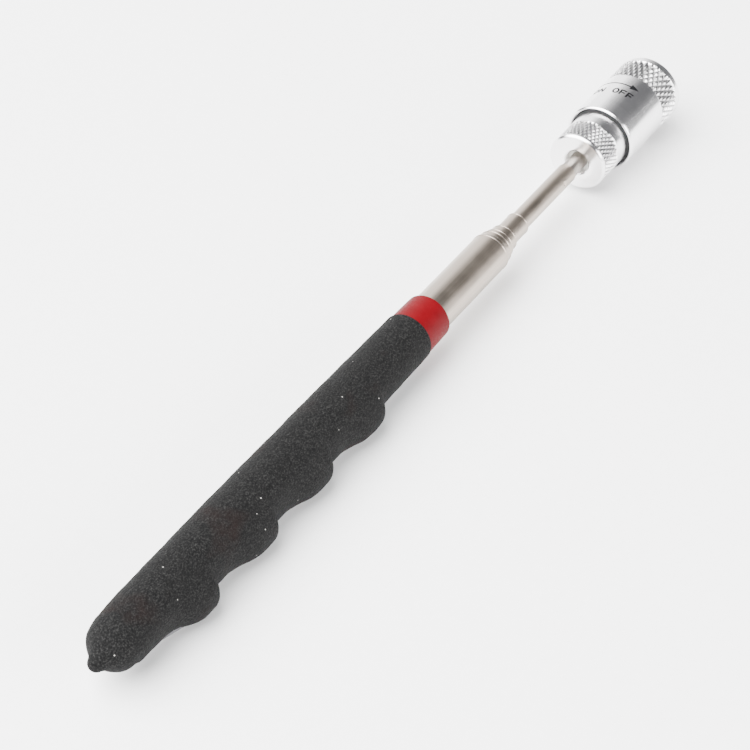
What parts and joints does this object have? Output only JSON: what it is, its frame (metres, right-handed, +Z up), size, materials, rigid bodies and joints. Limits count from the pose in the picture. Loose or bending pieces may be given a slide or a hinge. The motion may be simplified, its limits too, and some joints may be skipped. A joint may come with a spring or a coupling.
{
  "type": "telescopic magnetic pick-up tool",
  "caption": "Slim hand-held pick-up tool: contoured foam grip, telescoping steel tubes and a knurled twist-switch lamp head with a ring magnet at the tip.",
  "frame": {"origin": "on the ground below the middle of the tool's length, the tool lying on its magnet sleeve and finger ridges", "axes": "+X along the tool towards the magnet face, +Z up, the finger ridges pointing down and towards -Y"},
  "size_m": [0.224, 0.017, 0.017],
  "materials": {
    "black_foam": "fine granular matte foamed dip coat, charcoal black",
    "red_vinyl": "semi-matte red vinyl dip coat",
    "core_plastic": "moulded plastic, hidden",
    "tube_steel": "drawn stainless steel, satin, polished rolled mouths",
    "bush_brass": "turned brass",
    "stud_steel": "turned steel",
    "nylon": "natural nylon",
    "head_aluminium": "turned aluminium, fine satin lathe finish with knurled bands",
    "spring_steel": "sheet spring steel",
    "insulating_paper": "rolled insulating paper",
    "cell_steel": "plated cell cans",
    "black_rubber": "soft black rubber",
    "contact_brass": "brass contact",
    "board_laminate": "glass fibre laminate",
    "lamp_clear": "clear cast epoxy lamp",
    "yoke_steel": "nickel plated steel",
    "magnet_nickel": "nickel plated magnet"
  },
  "bodies": {
    "handle": {"foam_coat": "black_foam", "vinyl_undercoat": "red_vinyl", "grip_core": "core_plastic", "outer_tube": "tube_steel", "tail_plug": "core_plastic"},
    "section_2": {"tube_2": "tube_steel", "guide_bush_2": "bush_brass"},
    "section_3": {"tube_3": "tube_steel", "guide_bush_3": "bush_brass"},
    "section_4": {"tube_4": "tube_steel", "guide_bush_4": "bush_brass"},
    "section_5": {"tube_5": "tube_steel", "guide_bush_5": "bush_brass"},
    "tip": {"tip_tube": "tube_steel", "guide_bush_6": "bush_brass", "swivel_stud": "stud_steel"},
    "head": {"battery_housing": "head_aluminium", "spring_seat": "spring_steel", "contact_spring": "spring_steel", "cell_sleeve": "insulating_paper", "button_cell_1": "cell_steel", "button_cell_2": "cell_steel", "button_cell_3": "cell_steel", "button_cell_4": "cell_steel", "o_ring": "black_rubber", "swivel_washer": "nylon"},
    "lamp_carrier": {"lamp_contact": "contact_brass", "lamp_board": "board_laminate", "lamp_holder": "nylon", "lamp": "lamp_clear"},
    "twist_sleeve": {"sleeve": "head_aluminium", "magnet_yoke": "yoke_steel", "ring_magnet": "magnet_nickel"}
  },
  "joints": [
    {"name": "section_2_slide", "type": "slide", "parent": "handle", "child": "section_2", "axis": [1, 0, 0], "range_m": [0, 0.112]},
    {"name": "section_3_slide", "type": "slide", "parent": "section_2", "child": "section_3", "axis": [1, 0, 0], "range_m": [0, 0.112]},
    {"name": "section_4_slide", "type": "slide", "parent": "section_3", "child": "section_4", "axis": [1, 0, 0], "range_m": [-0.0008, 0.11]},
    {"name": "section_5_slide", "type": "slide", "parent": "section_4", "child": "section_5", "axis": [1, 0, 0], "range_m": [-0.0044, 0.108]},
    {"name": "tip_slide", "type": "slide", "parent": "section_5", "child": "tip", "axis": [1, 0, 0], "range_m": [-0.022, 0.092]},
    {"name": "head_swivel", "type": "hinge", "parent": "tip", "child": "head", "pos_m": [0, 0, 0.0085], "axis": [1, 0, 0], "continuous": true},
    {"name": "lamp_travel", "type": "slide", "parent": "head", "child": "lamp_carrier", "axis": [1, 0, 0], "range_m": [-0.00023, 0.0015]},
    {"name": "twist_switch", "type": "hinge", "parent": "lamp_carrier", "child": "twist_sleeve", "pos_m": [0, 0, 0.0085], "axis": [1, 0, 0], "range_deg": [-110, 720]}
  ],
  "couplings": [
    {"joint": "twist_switch", "follows": "lamp_travel", "rad_per_m": 8377.6}
  ]
}
